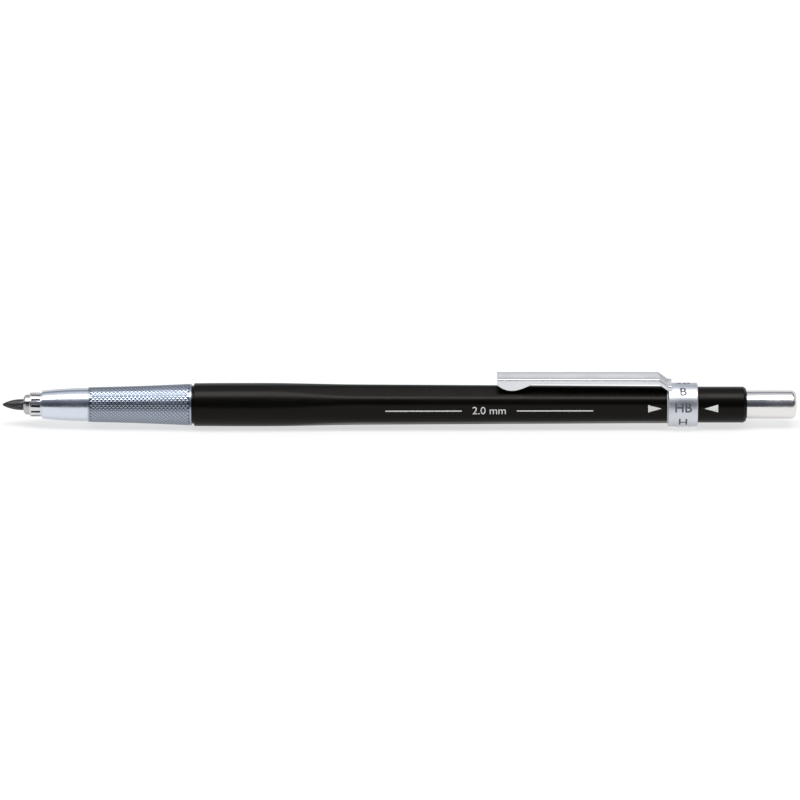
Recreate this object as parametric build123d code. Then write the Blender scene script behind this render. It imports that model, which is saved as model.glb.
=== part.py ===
"""A clutch lead holder for 2 mm drawing leads: black faceted barrel, knurled metal grip, pocket clip
on a turning grade ring, and a push button that pulls off to show a lead pointer.

Every piece is modelled along X. X is measured from the barrel's front face, rearwards. The last
function moves the holder so that its own origin is the bottom centre of its box.
"""
from build123d import *
import os
from math import cos, radians, sin, sqrt, tan

os.makedirs("parts", exist_ok=True)

# ---------------------------------------------------------------- driving dimensions, millimetres
# Lead
LEAD_D = 2.0
LEAD_LENGTH = 130.0
LEAD_OUT = 3.84            # shown ahead of the jaws
POINT_LENGTH = 3.4         # sharpened stretch
POINT_TIP_D = 0.45         # worn tip

# Collet: three spring jaws on one body, threaded into the lead tube
JAW_COUNT = 3
JAW_OUT = 1.10             # jaw heads ahead of the nose bush
JAW_WALL = 0.33            # stem wall around the lead's passage
JAW_HEAD_STEP = 0.38       # head stands this far out of the stem
JAW_CONE_DEG = 9.5         # back of the head, half angle
JAW_LENGTH = 16.0          # jaw face to jaw root
JAW_SLIT = 0.36
JAW_BITE = 5.0             # length of the bore that grips the lead
JAW_FACE_BEVEL = 0.42
JAW_OPEN_DEG = 1.2         # swing of a jaw at full press
PRESS_TRAVEL = 3.5         # button stroke
COLLET_BODY = 5.2          # jaw root to the tube's front end
COLLET_STUB = 5.6          # threaded stretch inside the tube
COLLET_COLLAR = 1.4

# Nose bush, with the conical seat that closes the jaws
BUSH_OUT = 2.29
BUSH_WALL = 0.36           # around the passage for the open jaws
BUSH_SHOULDER = 0.10
BUSH_SPIGOT = 3.2
BUSH_BEVEL = 0.12
FLUTE_COUNT = 12
FLUTE_D = 0.34

# Grip sleeve: smooth cone and knurled stretch
CONE_LENGTH = 8.42
CONE_RIM = 0.46            # wall around the nose bush
CONE_MID_D = 5.84
CONE_BACK_D = 6.08
KNURL_LENGTH = 18.95
KNURL_FRONT_D = 6.37
KNURL_MID_D = 6.86
KNURL_BACK_D = 7.66
SEAM = 0.40                # dark groove between grip and barrel
SEAM_DEPTH = 0.43

# Threaded bush that joins the grip to the barrel and seats the spring
THREAD_D = 5.8
THREAD_LENGTH = 6.8
SOCKET_STEP = 0.2          # barrel socket is this much larger in radius than the thread
SOCKET_DEPTH = 7.0

# Barrel: round at the front, a soft hexagon behind
BARREL_LENGTH = 86.5
BARREL_FRONT_D = 7.86
BARREL_SWELL = 0.07        # fullest a little behind the front face
FACET_START = 15.0         # facets touch the round here
FACET_FULL = 26.0          # and have their own taper from here
FACET_FULL_AF = 7.12       # across flats at FACET_FULL
FACET_BACK_AF = 6.53       # across flats at the rear end
CORNER_R = 1.3
BARREL_EDGE = 0.25

# Lead tube, spring and the pieces pressed on the tube
STUB_WALL = 0.30           # tube wall around the collet's stub
TUBE_WALL = 0.40
SPRING_WIRE_D = 0.36
SPRING_LENGTH = 16.0
SPRING_TURNS = 11
COLLAR_STEP = 0.16         # collar stands this far out of the spring
COLLAR_LENGTH = 1.6

# Rear plug, washer and grade ring
PLUG_OUT = 8.85            # shown behind the ring
PLUG_WALL = 0.64           # around the button
PLUG_SHOULDER_STEP = 0.3   # holds the grade ring
PLUG_SPIGOT_STEP = 0.2
PLUG_SPIGOT = 6.5
PLUG_BEVEL = 0.5
RING_WIDTH = 5.4
RING_D = 8.05
RING_BEVEL = 0.15
WASHER_T = 0.18
WASHER_WIDTH = 0.45

# Clip: one bent strip of sheet with turned-down edges and two cheeks at its free end
CLIP_SHEET = 0.45
CLIP_WIDTH = 4.3
CLIP_HEIGHT = 5.65         # outer face above the holder's axis
CLIP_LENGTH = 29.6         # free end to the bend
CLIP_LEG_RUN = 1.75        # length that the leg takes to come down
CLIP_SADDLE = 0.6          # rests this far on the grade ring
CLIP_SADDLE_T = 0.3        # sheet over the ring
CLIP_SADDLE_DEPTH = 1.6    # the saddle's sides reach this far down the ring
CLIP_EDGE_DEPTH = 1.0
CHEEK_LENGTH = 6.4
CHEEK_LOW_AT = 2.7         # deepest place, from the free end
CLIP_CORNER_R = 0.3

# Push button with the lead pointer in it
BUTTON_OUT = 9.40
BUTTON_D = 5.2
BUTTON_SKIRT = 3.0         # reaches this far into the plug at rest
BUTTON_WALL = 0.35
BUTTON_END_WALL = 1.2
BUTTON_BEVEL = 1.2
BUTTON_BEVEL_IN = 0.5
BUTTON_DOME = 0.3
BUTTON_STEP = 0.1          # groove ends here, behind the rear plug
GROOVE_WIDTH = 0.6         # between the button's skirt and its shown stretch
GROOVE_DEPTH = 0.17
FERRULE_LENGTH = 4.8
POINTER_LENGTH = 5.7
POINTER_MOUTH_D = 2.3
POINTER_END_D = 0.6
POINTER_CONE = 5.2
BLADE_COUNT = 3
BLADE_T = 0.25
BLADE_PROUD = 0.08
BLADE_BED = 0.4            # plastic left outside a blade
BLADE_INSET = 0.4          # plastic left at its two ends

# Clearances
SEAT_GAP = 0.02            # jaws to seat, jaws to lead
RUN_GAP = 0.05             # guides
SIDE_GAP = 0.03            # end play of the grade ring
CLIP_GAP = 0.08            # cheeks to barrel corners
FOOT_GAP = 0.02            # clip foot to grade ring
BUTTON_GAP = 0.06          # button in the rear plug
STOP_GAP = 0.3             # button skirt to its stop at full press
LEAD_GAP = 0.12            # lead in the collet body
SPRING_GAP = 0.18          # spring on the tube
COLLAR_GAP = 0.10          # collar in the barrel
COLLAR_ROOM = 0.25         # collet collar in the grip
TUBE_ROOM = 0.35           # tube in the rear plug
FERRULE_GAP = 0.2          # ferrule behind the skirt's front
POINTER_GAP = 0.3          # pointer behind the tube's end

# ---------------------------------------------------------------- diameters that follow
JAW_STEM_D = LEAD_D + 2 * (LEAD_GAP + JAW_WALL)
JAW_HEAD_D = JAW_STEM_D + 2 * JAW_HEAD_STEP
TUBE_D = JAW_STEM_D + 2 * STUB_WALL
TUBE_BORE_D = TUBE_D - 2 * TUBE_WALL
GUIDE_BORE_D = TUBE_D + 2 * RUN_GAP
GRIP_BORE_D = TUBE_D + 2 * COLLAR_ROOM
SOCKET_D = THREAD_D + 2 * SOCKET_STEP
SPRING_MEAN_D = TUBE_D + 2 * SPRING_GAP + SPRING_WIRE_D
COLLAR_D = SPRING_MEAN_D + SPRING_WIRE_D + 2 * COLLAR_STEP
BARREL_BORE_D = COLLAR_D + 2 * COLLAR_GAP
BARREL_SWELL_D = BARREL_FRONT_D + BARREL_SWELL
BUTTON_GUIDE_D = BUTTON_D + 2 * BUTTON_GAP
BUTTON_BORE_D = BUTTON_D - 2 * BUTTON_WALL
PLUG_D = BUTTON_GUIDE_D + 2 * PLUG_WALL
PLUG_NECK_D = PLUG_D - 2 * PLUG_SHOULDER_STEP
PLUG_SPIGOT_D = PLUG_NECK_D - 2 * PLUG_SPIGOT_STEP
PLUG_BORE_D = TUBE_D + 2 * TUBE_ROOM
WASHER_D = PLUG_NECK_D + 2 * WASHER_WIDTH

# ---------------------------------------------------------------- places along X
GRIP_END = -SEAM
KNURL_START = GRIP_END - KNURL_LENGTH
CONE_START = KNURL_START - CONE_LENGTH
BUSH_FACE = CONE_START - BUSH_OUT
JAW_FACE = BUSH_FACE - JAW_OUT
LEAD_TIP = JAW_FACE - LEAD_OUT
JAW_ROOT = JAW_FACE + JAW_LENGTH
TUBE_FRONT = JAW_ROOT + COLLET_BODY
SPRING_FRONT = SOCKET_DEPTH
SPRING_BACK = SPRING_FRONT + SPRING_LENGTH
RING_FRONT = BARREL_LENGTH + WASHER_T + SIDE_GAP
RING_BACK = RING_FRONT + RING_WIDTH
PLUG_SHOULDER = RING_BACK + SIDE_GAP
PLUG_END = PLUG_SHOULDER + PLUG_OUT
BUTTON_END = PLUG_END + BUTTON_OUT
SKIRT_FRONT = PLUG_END - BUTTON_SKIRT
STOP_FACE = SKIRT_FRONT - PRESS_TRAVEL - STOP_GAP
FERRULE_FRONT = SKIRT_FRONT + FERRULE_GAP
TUBE_END = FERRULE_FRONT + FERRULE_LENGTH
POINTER_FRONT = TUBE_END + POINTER_GAP
BUTTON_SHOULDER = BUTTON_END - BUTTON_BEVEL
CLIP_BEND = RING_FRONT - 1.7
CLIP_FREE = CLIP_BEND - CLIP_LENGTH
CLIP_LEG_END = CLIP_BEND + CLIP_LEG_RUN
CLIP_FOOT = CLIP_LEG_END + CLIP_SADDLE

LENGTH = BUTTON_END - LEAD_TIP
AXIS_HEIGHT = RING_D / 2

# ---------------------------------------------------------------- the nose, from the jaws' swing
JAW_SWING = (JAW_ROOT - BUSH_FACE - PRESS_TRAVEL) * sin(radians(JAW_OPEN_DEG))
BUSH_BORE_D = JAW_STEM_D + 2 * (JAW_SWING + RUN_GAP)
BUSH_SPIGOT_D = BUSH_BORE_D + 2 * BUSH_WALL
BUSH_D = BUSH_SPIGOT_D + 2 * BUSH_SHOULDER
CONE_FRONT_D = BUSH_SPIGOT_D + 2 * CONE_RIM


# ---------------------------------------------------------------- shared shapes
def turned(*outline):
    """A solid of revolution about X, from (x, radius) corners."""
    return revolve(make_face(Polyline(*outline, close=True)), Axis.X, 360)


def tube(start, end, outer_d, inner_d):
    return turned((start, inner_d / 2), (start, outer_d / 2), (end, outer_d / 2), (end, inner_d / 2))


def rod(start, end, diameter):
    return turned((start, 0), (start, diameter / 2), (end, diameter / 2), (end, 0))


def around(shape, count, turn=0.0):
    """Copies of a shape spaced evenly about the X axis."""
    return [Rot(turn + 360 * n / count, 0, 0) * shape for n in range(count)]


def facet_distance(x):
    """Half of the barrel's size across flats at a place along it."""
    share = (x - FACET_FULL) / (BARREL_LENGTH - FACET_FULL)
    return (FACET_FULL_AF + (FACET_BACK_AF - FACET_FULL_AF) * share) / 2


def corner_radius(x):
    """Distance from the axis to the barrel's rounded corner at a place along it."""
    return (facet_distance(x) - CORNER_R) / cos(radians(30)) + CORNER_R


# ---------------------------------------------------------------- lead and collet
def make_lead():
    radius = LEAD_D / 2
    full = LEAD_TIP + POINT_LENGTH
    back = LEAD_TIP + LEAD_LENGTH
    tip = (LEAD_TIP + POINT_TIP_D / 4, POINT_TIP_D / 2)
    point = TangentArc((full, radius), tip, tangent=(-1, 0))
    rest = Polyline((full, radius), (back, radius), (back, 0), (LEAD_TIP, 0), tip)
    return revolve(make_face(point + rest), Axis.X, 360)


def collet_blank():
    """The collet's jaws before slitting: stem, cone and head."""
    head, stem = JAW_HEAD_D / 2, JAW_STEM_D / 2
    cone_end = BUSH_FACE + (head - stem) / tan(radians(JAW_CONE_DEG))
    bite, relief = LEAD_D / 2 + SEAT_GAP, LEAD_D / 2 + LEAD_GAP
    return turned(
        (JAW_FACE, bite),
        (JAW_FACE, head - JAW_FACE_BEVEL),
        (JAW_FACE + JAW_FACE_BEVEL, head),
        (BUSH_FACE, head),
        (cone_end, stem),
        (JAW_ROOT, stem),
        (JAW_ROOT, relief),
        (JAW_FACE + JAW_BITE + 0.3, relief),
        (JAW_FACE + JAW_BITE, bite),
    )


def make_jaws():
    blank = collet_blank()
    slit = Pos((JAW_FACE + JAW_ROOT) / 2, 0, JAW_HEAD_D / 2) * Box(JAW_LENGTH + 2, JAW_SLIT, JAW_HEAD_D)
    turn = 180 / JAW_COUNT
    cut = blank - around(slit, JAW_COUNT, turn)
    return sorted(cut.solids(), key=lambda s: -s.center().Z)


def make_collet_body():
    stem, bore = JAW_STEM_D / 2, LEAD_D / 2 + LEAD_GAP
    return turned(
        (JAW_ROOT, bore),
        (JAW_ROOT, stem),
        (TUBE_FRONT - COLLET_COLLAR, stem),
        (TUBE_FRONT - COLLET_COLLAR, TUBE_D / 2),
        (TUBE_FRONT, TUBE_D / 2),
        (TUBE_FRONT, stem),
        (TUBE_FRONT + COLLET_STUB, stem),
        (TUBE_FRONT + COLLET_STUB, bore),
    )


# ---------------------------------------------------------------- nose, grip and barrel
def make_nose_bush():
    head = JAW_HEAD_D / 2 + SEAT_GAP
    bore = BUSH_BORE_D / 2
    seat_end = BUSH_FACE + (head - bore) / tan(radians(JAW_CONE_DEG))
    spigot_end = CONE_START + BUSH_SPIGOT
    bush = turned(
        (BUSH_FACE, head),
        (BUSH_FACE, BUSH_D / 2 - BUSH_BEVEL),
        (BUSH_FACE + BUSH_BEVEL, BUSH_D / 2),
        (CONE_START, BUSH_D / 2),
        (CONE_START, BUSH_SPIGOT_D / 2),
        (spigot_end, BUSH_SPIGOT_D / 2),
        (spigot_end, bore),
        (seat_end, bore),
    )
    middle = BUSH_FACE + BUSH_OUT / 2
    flute = Pos(middle, 0, BUSH_D / 2) * Rot(0, 90, 0) * Cylinder(FLUTE_D / 2, BUSH_OUT * 0.72)
    return bush - around(flute, FLUTE_COUNT, 180 / FLUTE_COUNT)


def make_grip_sleeve():
    spigot_end = CONE_START + BUSH_SPIGOT
    thread_start = GRIP_END - THREAD_LENGTH - 0.3
    cone = ThreePointArc(
        (CONE_START, CONE_FRONT_D / 2),
        (CONE_START + CONE_LENGTH / 2, CONE_MID_D / 2),
        (KNURL_START, CONE_BACK_D / 2),
    )
    knurl = ThreePointArc(
        (KNURL_START, KNURL_FRONT_D / 2),
        (KNURL_START + KNURL_LENGTH / 2, KNURL_MID_D / 2),
        (GRIP_END, KNURL_BACK_D / 2),
    )
    step = Line((KNURL_START, CONE_BACK_D / 2), (KNURL_START, KNURL_FRONT_D / 2))
    inside = Polyline(
        (GRIP_END, KNURL_BACK_D / 2),
        (GRIP_END, THREAD_D / 2),
        (thread_start, THREAD_D / 2),
        (thread_start, GRIP_BORE_D / 2),
        (spigot_end, GRIP_BORE_D / 2),
        (spigot_end, BUSH_SPIGOT_D / 2),
        (CONE_START, BUSH_SPIGOT_D / 2),
        (CONE_START, CONE_FRONT_D / 2),
    )
    return revolve(make_face(cone + step + knurl + inside), Axis.X, 360)


def make_thread_bush():
    return turned(
        (GRIP_END - THREAD_LENGTH, GUIDE_BORE_D / 2),
        (GRIP_END - THREAD_LENGTH, THREAD_D / 2),
        (GRIP_END, THREAD_D / 2),
        (GRIP_END, SOCKET_D / 2),
        (SOCKET_DEPTH, SOCKET_D / 2),
        (SOCKET_DEPTH, GUIDE_BORE_D / 2),
    )


def hexagon(x, across_flats):
    """A rounded hexagon across the axis, with a corner straight up."""
    outline = RegularPolygon(across_flats / 2, 6, major_radius=False, rotation=0)
    outline = fillet(outline.vertices(), CORNER_R)
    return Plane((x, 0, 0), x_dir=(0, 0, 1), z_dir=(1, 0, 0)) * outline


def make_barrel():
    lip = BARREL_FRONT_D / 2 - SEAM_DEPTH
    plug_start = BARREL_LENGTH - PLUG_SPIGOT
    swell = ThreePointArc(
        (BARREL_EDGE, BARREL_FRONT_D / 2),
        (FACET_START * 0.6, BARREL_SWELL_D / 2),
        (FACET_START * 1.2, BARREL_FRONT_D / 2),
    )
    rest = Polyline(
        (FACET_START * 1.2, BARREL_FRONT_D / 2),
        (BARREL_LENGTH, BARREL_FRONT_D / 2),
        (BARREL_LENGTH, PLUG_SPIGOT_D / 2),
        (plug_start, PLUG_SPIGOT_D / 2),
        (plug_start, BARREL_BORE_D / 2),
        (SOCKET_DEPTH, BARREL_BORE_D / 2),
        (SOCKET_DEPTH, SOCKET_D / 2),
        (GRIP_END, SOCKET_D / 2),
        (GRIP_END, lip),
        (0, lip),
        (0, BARREL_FRONT_D / 2 - BARREL_EDGE),
        (BARREL_EDGE, BARREL_FRONT_D / 2),
    )
    body = revolve(make_face(swell + rest), Axis.X, 360)
    stations = (
        (GRIP_END - 1, BARREL_SWELL_D + 1.2),
        (FACET_START, BARREL_SWELL_D),
        (FACET_FULL, FACET_FULL_AF),
        (BARREL_LENGTH, FACET_BACK_AF),
    )
    prism = loft([hexagon(x, flats) for x, flats in stations], ruled=True)
    return body & prism


# ---------------------------------------------------------------- mechanism inside the barrel
def make_lead_tube():
    return turned(
        (TUBE_FRONT, JAW_STEM_D / 2),
        (TUBE_FRONT, TUBE_D / 2),
        (TUBE_END, TUBE_D / 2),
        (TUBE_END, TUBE_BORE_D / 2),
        (TUBE_FRONT + COLLET_STUB, TUBE_BORE_D / 2),
        (TUBE_FRONT + COLLET_STUB, JAW_STEM_D / 2),
    )


def make_spring():
    """A coil of round wire with its two ends ground flat."""
    pitch = SPRING_LENGTH / SPRING_TURNS
    coil = Helix(pitch, SPRING_LENGTH, SPRING_MEAN_D / 2)
    wire = Plane(origin=coil @ 0, z_dir=coil % 0) * Circle(SPRING_WIRE_D / 2)
    spring = Pos(SPRING_FRONT, 0, 0) * Rot(0, 90, 0) * sweep(wire, path=coil, is_frenet=True)
    return spring & rod(SPRING_FRONT, SPRING_BACK, SPRING_MEAN_D * 2)


def make_spring_collar():
    return tube(SPRING_BACK, SPRING_BACK + COLLAR_LENGTH, COLLAR_D, TUBE_D)


# ---------------------------------------------------------------- rear plug, grade ring and clip
def make_rear_plug():
    guide = BUTTON_GUIDE_D / 2
    return turned(
        (BARREL_LENGTH - PLUG_SPIGOT, PLUG_BORE_D / 2),
        (BARREL_LENGTH - PLUG_SPIGOT, PLUG_SPIGOT_D / 2),
        (BARREL_LENGTH, PLUG_SPIGOT_D / 2),
        (BARREL_LENGTH, PLUG_NECK_D / 2),
        (PLUG_SHOULDER, PLUG_NECK_D / 2),
        (PLUG_SHOULDER, PLUG_D / 2),
        (PLUG_END - PLUG_BEVEL, PLUG_D / 2),
        (PLUG_END, PLUG_D / 2 - PLUG_BEVEL * 0.7),
        (PLUG_END, guide),
        (STOP_FACE, guide),
        (STOP_FACE, PLUG_BORE_D / 2),
    )


def make_index_washer():
    return tube(BARREL_LENGTH, BARREL_LENGTH + WASHER_T, WASHER_D, PLUG_NECK_D)


def make_grade_ring():
    """The turning ring that shows the lead's grade, held between washer and rear plug."""
    bore = PLUG_NECK_D / 2 + RUN_GAP
    outer = RING_D / 2
    return turned(
        (RING_FRONT, bore),
        (RING_FRONT, outer - RING_BEVEL),
        (RING_FRONT + RING_BEVEL, outer),
        (RING_BACK - RING_BEVEL, outer),
        (RING_BACK, outer - RING_BEVEL),
        (RING_BACK, bore),
    )


def make_clip():
    """Web, turned-down edges and cheeks from one sheet, cut to sit on the grade ring."""
    top = CLIP_HEIGHT
    under = top - CLIP_EDGE_DEPTH
    ring_top = RING_D / 2
    half_inside = CLIP_WIDTH / 2 - CLIP_SHEET
    low_x = CLIP_FREE + CHEEK_LOW_AT
    low_z = sqrt((corner_radius(CLIP_FREE) + CLIP_GAP) ** 2 - half_inside**2)
    foot_top = ring_top + CLIP_SADDLE_T
    foot_low = ring_top - CLIP_SADDLE_DEPTH
    leg_start = RING_FRONT + FOOT_GAP
    leg_slope = (top - foot_top) / CLIP_LEG_RUN
    leg_under = CLIP_SHEET * sqrt(1 + leg_slope**2)
    inner_foot = ring_top - 0.1
    inner_bend = CLIP_BEND - (leg_under - CLIP_SHEET) / leg_slope
    inner_end = CLIP_BEND + (top - leg_under - inner_foot) / leg_slope
    cheek = ThreePointArc((CLIP_FREE + CHEEK_LENGTH, under), (low_x, low_z), (CLIP_FREE, under - 0.15))
    edge = Polyline(
        (CLIP_FREE, under - 0.15),
        (CLIP_FREE, top),
        (CLIP_BEND, top),
        (CLIP_LEG_END, foot_top),
        (CLIP_FOOT, foot_top),
        (CLIP_FOOT, foot_low),
        (leg_start, foot_low),
        (leg_start, ring_top - 0.3),
        (CLIP_BEND - 0.3, under),
        (CLIP_FREE + CHEEK_LENGTH, under),
    )
    side = Plane.XZ * make_face(cheek + edge)
    blank = extrude(side, CLIP_WIDTH / 2, both=True)
    blank = fillet(blank.edges().filter_by(Axis.X).sort_by(Axis.Z)[-2:], CLIP_CORNER_R)
    hollow_outline = Polyline(
        (CLIP_FREE - 1, 0),
        (CLIP_FREE - 1, top - CLIP_SHEET),
        (inner_bend, top - CLIP_SHEET),
        (inner_end, inner_foot),
        (inner_end, 0),
        close=True,
    )
    hollow = extrude(Plane.XZ * make_face(hollow_outline), half_inside, both=True)
    seat = rod(RING_FRONT - 1, RING_BACK + 1, RING_D + 2 * FOOT_GAP)
    return blank - hollow - seat


# ---------------------------------------------------------------- push button and pointer
def make_button_ferrule():
    return tube(FERRULE_FRONT, TUBE_END, BUTTON_BORE_D - 2 * SEAT_GAP, TUBE_D)


def make_button_cap():
    outer, bore, shoulder = BUTTON_D / 2, BUTTON_BORE_D / 2, BUTTON_SHOULDER
    step = PLUG_END + BUTTON_STEP
    rim = (BUTTON_END - BUTTON_DOME, outer - BUTTON_BEVEL_IN)
    bevel = TangentArc((shoulder, outer), rim, tangent=(1, 0))
    dome = TangentArc((BUTTON_END, 0), rim, tangent=(0, 1))
    rest = Polyline(
        (BUTTON_END, 0),
        (BUTTON_END - BUTTON_END_WALL, 0),
        (BUTTON_END - BUTTON_END_WALL, bore),
        (SKIRT_FRONT, bore),
        (SKIRT_FRONT, outer),
        (step - GROOVE_WIDTH, outer),
        (step - GROOVE_WIDTH, outer - GROOVE_DEPTH),
        (step, outer - GROOVE_DEPTH),
        (step, outer),
        (shoulder, outer),
    )
    return revolve(make_face(bevel + dome + rest), Axis.X, 360)


def pointer_radius(x):
    """Radius of the pointer's cone at a place along it."""
    share = (x - POINTER_FRONT) / POINTER_CONE
    return (POINTER_MOUTH_D + (POINTER_END_D - POINTER_MOUTH_D) * share) / 2


def blade_blank():
    """One blade, standing along the cone and reaching a little into it."""
    start, end = POINTER_FRONT + BLADE_INSET, POINTER_FRONT + POINTER_CONE - BLADE_INSET
    outer = BUTTON_BORE_D / 2 - BLADE_BED
    outline = Polyline(
        (start, pointer_radius(start) - BLADE_PROUD),
        (end, pointer_radius(end) - BLADE_PROUD),
        (end, outer),
        (start, outer),
        close=True,
    )
    return extrude(Plane.XZ * make_face(outline), BLADE_T / 2, both=True)


def make_pointer_blades():
    return Compound(children=around(blade_blank(), BLADE_COUNT))


def make_pointer_insert():
    outer = BUTTON_BORE_D / 2
    end = POINTER_FRONT + POINTER_LENGTH
    cone_end = POINTER_FRONT + POINTER_CONE
    plug = turned(
        (POINTER_FRONT, POINTER_MOUTH_D / 2),
        (POINTER_FRONT, outer),
        (end, outer),
        (end, 0),
        (cone_end, 0),
        (cone_end, POINTER_END_D / 2),
    )
    return plug - around(blade_blank(), BLADE_COUNT)


# ---------------------------------------------------------------- all pieces, in the holder's frame
def pieces():
    named = {
        "lead": make_lead(),
        "collet_body": make_collet_body(),
        "nose_bush": make_nose_bush(),
        "grip_sleeve": make_grip_sleeve(),
        "thread_bush": make_thread_bush(),
        "barrel": make_barrel(),
        "lead_tube": make_lead_tube(),
        "return_spring": make_spring(),
        "spring_collar": make_spring_collar(),
        "rear_plug": make_rear_plug(),
        "index_washer": make_index_washer(),
        "grade_ring": make_grade_ring(),
        "clip": make_clip(),
        "button_ferrule": make_button_ferrule(),
        "button_cap": make_button_cap(),
        "pointer_insert": make_pointer_insert(),
        "pointer_blades": make_pointer_blades(),
    }
    for number, jaw in enumerate(make_jaws(), 1):
        named[f"jaw_{number}"] = jaw
    return named


to_origin = Pos(-(LEAD_TIP + LENGTH / 2), 0, AXIS_HEIGHT)
for name, shape in pieces().items():
    export_step(to_origin * shape, f"parts/{name}.step")

print("length", round(LENGTH, 2), "axis height", round(AXIS_HEIGHT, 3))
print("X of the datum", round(-(LEAD_TIP + LENGTH / 2), 3))
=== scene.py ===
from math import atan2, cos, pi, radians, sin, sqrt, tan

import bpy
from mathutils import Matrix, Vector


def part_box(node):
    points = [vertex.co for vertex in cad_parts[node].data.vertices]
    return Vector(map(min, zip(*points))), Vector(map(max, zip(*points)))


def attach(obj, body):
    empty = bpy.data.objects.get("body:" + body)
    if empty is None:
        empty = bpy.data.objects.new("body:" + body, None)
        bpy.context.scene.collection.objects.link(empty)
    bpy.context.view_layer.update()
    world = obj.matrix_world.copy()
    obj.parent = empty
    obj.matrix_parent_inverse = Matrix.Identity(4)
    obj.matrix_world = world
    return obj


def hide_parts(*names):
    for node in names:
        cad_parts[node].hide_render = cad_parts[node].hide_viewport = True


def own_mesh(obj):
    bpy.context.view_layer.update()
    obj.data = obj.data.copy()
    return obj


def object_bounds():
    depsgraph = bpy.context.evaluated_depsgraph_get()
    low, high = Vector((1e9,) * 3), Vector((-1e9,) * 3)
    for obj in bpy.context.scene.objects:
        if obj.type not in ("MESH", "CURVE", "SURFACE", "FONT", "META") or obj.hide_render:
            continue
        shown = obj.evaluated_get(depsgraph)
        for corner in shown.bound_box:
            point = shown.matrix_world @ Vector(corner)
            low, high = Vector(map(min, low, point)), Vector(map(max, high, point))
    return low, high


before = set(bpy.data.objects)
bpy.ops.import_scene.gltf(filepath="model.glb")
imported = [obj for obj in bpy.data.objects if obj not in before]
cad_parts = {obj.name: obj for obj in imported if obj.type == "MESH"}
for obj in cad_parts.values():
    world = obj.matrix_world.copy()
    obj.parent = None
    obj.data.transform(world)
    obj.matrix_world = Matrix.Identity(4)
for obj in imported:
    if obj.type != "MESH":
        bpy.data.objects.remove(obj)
cad_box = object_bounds()
mm = 0.001

# ---- Lead tube, collet body and spring collar.
# The tube is drawn brass. The collet body is screwed into its front end, and the collar is a turned
# brass bush pressed on behind the return spring. All three stay as the frame has them.
ring_low, ring_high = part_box("grade_ring")
axis_z = (ring_low.z + ring_high.z) / 2


def effect_group(name, inputs, outputs):
    """An empty shader node group with its sockets: inputs as {name: value}, outputs as names."""
    group = bpy.data.node_groups.new(name, "ShaderNodeTree")
    for label, value in inputs.items():
        socket = group.interface.new_socket(label, in_out="INPUT", socket_type="NodeSocketFloat")
        socket.default_value = value
    for label in outputs:
        group.interface.new_socket(label, in_out="OUTPUT", socket_type="NodeSocketFloat")
    return group, group.nodes.new("NodeGroupInput"), group.nodes.new("NodeGroupOutput")


def maths(tree, operation, first, second=0.0, clamp=False):
    """A Math node on two sockets or numbers, and its result."""
    node = tree.nodes.new("ShaderNodeMath")
    node.operation = operation
    node.use_clamp = clamp
    for socket, value in zip(node.inputs, (first, second)):
        if isinstance(value, (int, float)):
            socket.default_value = value
        else:
            tree.links.new(value, socket)
    return node.outputs[0]


def spread(tree, value, low, high, to_low, to_high):
    """A value's stretch from low to high, mapped to another stretch and held there."""
    node = tree.nodes.new("ShaderNodeMapRange")
    tree.links.new(value, node.inputs["Value"])
    for label, number in (("From Min", low), ("From Max", high), ("To Min", to_low), ("To Max", to_high)):
        node.inputs[label].default_value = number
    return node.outputs["Result"]


def object_noise(tree, scale, detail=2.0):
    """Noise over a piece's own coordinates."""
    place = tree.nodes.new("ShaderNodeTexCoord")
    noise = tree.nodes.new("ShaderNodeTexNoise")
    noise.inputs["Scale"].default_value = scale
    noise.inputs["Detail"].default_value = detail
    tree.links.new(place.outputs["Object"], noise.inputs["Vector"])
    return noise.outputs["Fac"]


def lathe_marks_group():
    """Fine rings that a turning tool leaves round the holder's axis."""
    group, given, out = effect_group("lathe_marks", {"Rings per metre": 9000.0}, ["Height"])
    place = group.nodes.new("ShaderNodeTexCoord")
    split = group.nodes.new("ShaderNodeSeparateXYZ")
    noise = group.nodes.new("ShaderNodeTexNoise")
    noise.noise_dimensions = "1D"
    noise.inputs["Scale"].default_value = 1.0
    noise.inputs["Detail"].default_value = 4.0
    group.links.new(place.outputs["Object"], split.inputs[0])
    along = maths(group, "MULTIPLY", split.outputs["X"], given.outputs["Rings per metre"])
    group.links.new(along, noise.inputs["W"])
    group.links.new(noise.outputs["Fac"], out.inputs["Height"])
    return group


def handling_group():
    """What use leaves on a smooth surface: soft patches of haze, and thin hairline scratches."""
    group, given, out = effect_group("handling", {"Patches": 170.0, "Hairs": 420.0}, ["Haze", "Hairlines"])
    place = group.nodes.new("ShaderNodeTexCoord")
    patches, hairs = group.nodes.new("ShaderNodeTexNoise"), group.nodes.new("ShaderNodeTexNoise")
    hairs.inputs["Distortion"].default_value = 1.4
    for noise, label in ((patches, "Patches"), (hairs, "Hairs")):
        noise.inputs["Detail"].default_value = 3.0
        group.links.new(place.outputs["Object"], noise.inputs["Vector"])
        group.links.new(given.outputs[label], noise.inputs["Scale"])
    haze = spread(group, patches.outputs["Fac"], 0.42, 0.68, 0.0, 1.0)
    from_middle = maths(group, "ABSOLUTE", maths(group, "SUBTRACT", hairs.outputs["Fac"], 0.5))
    thin = spread(group, from_middle, 0.0, 0.006, 1.0, 0.0)
    group.links.new(haze, out.inputs["Haze"])
    group.links.new(maths(group, "MULTIPLY", thin, haze), out.inputs["Hairlines"])
    return group


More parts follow.
